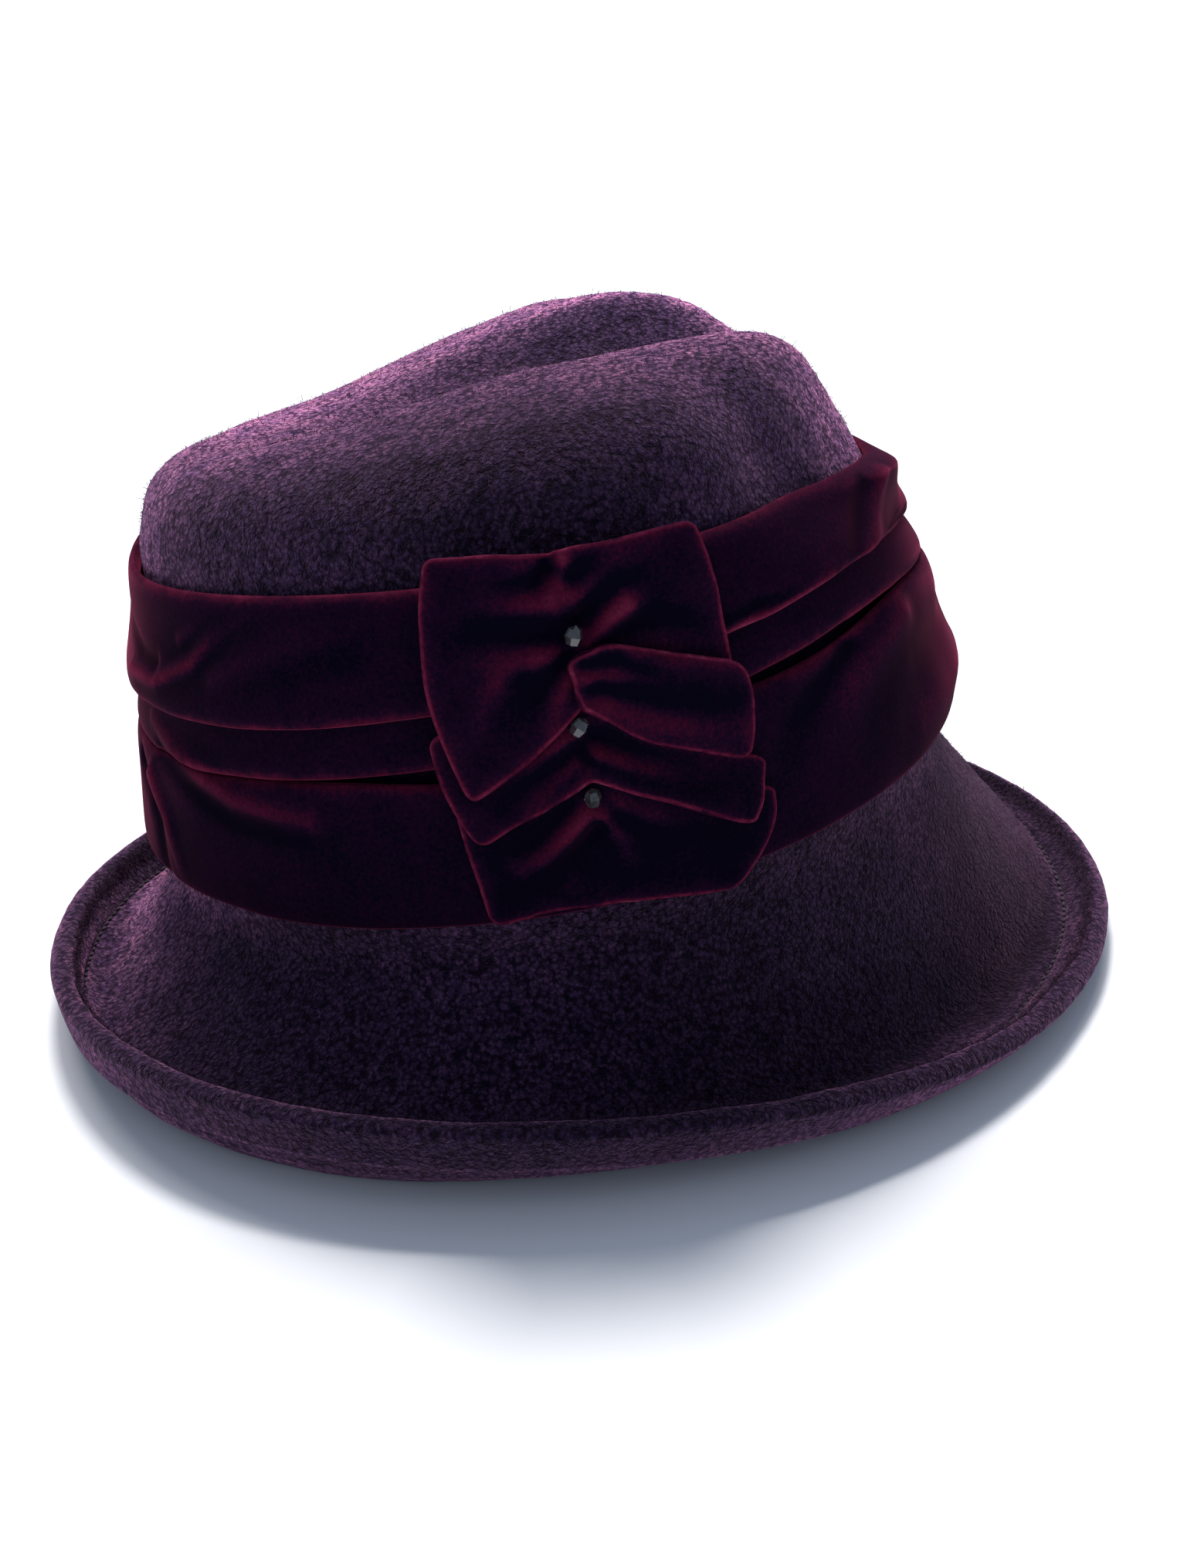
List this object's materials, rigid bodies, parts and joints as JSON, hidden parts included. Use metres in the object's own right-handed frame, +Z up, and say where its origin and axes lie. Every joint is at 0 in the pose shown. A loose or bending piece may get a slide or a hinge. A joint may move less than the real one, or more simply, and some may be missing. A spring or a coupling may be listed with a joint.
{
  "type": "cloche hat",
  "caption": "Felt cloche hat with a creased crown, an upturned stitched brim, a draped velvet band and a pleated velvet bow with beads.",
  "frame": {"origin": "on the surface that the hat rests on, under the middle of its bounding box", "axes": "+Z up, -Y the wearer's front, -X the wearer's right, where the bow is"},
  "size_m": [0.2665, 0.2841, 0.156],
  "materials": {
    "felt": "napped boiled wool",
    "velvet": "cut pile",
    "bead": "faceted, polished"
  },
  "bodies": {
    "root": {"felt_body": "felt", "velvet_band": "velvet", "bow_top_tier": "velvet", "bow_front_fold": "velvet", "bow_middle_tier": "velvet", "bow_bottom_tier": "velvet", "bead_1": "bead", "bead_2": "bead", "bead_3": "bead"}
  },
  "joints": []
}
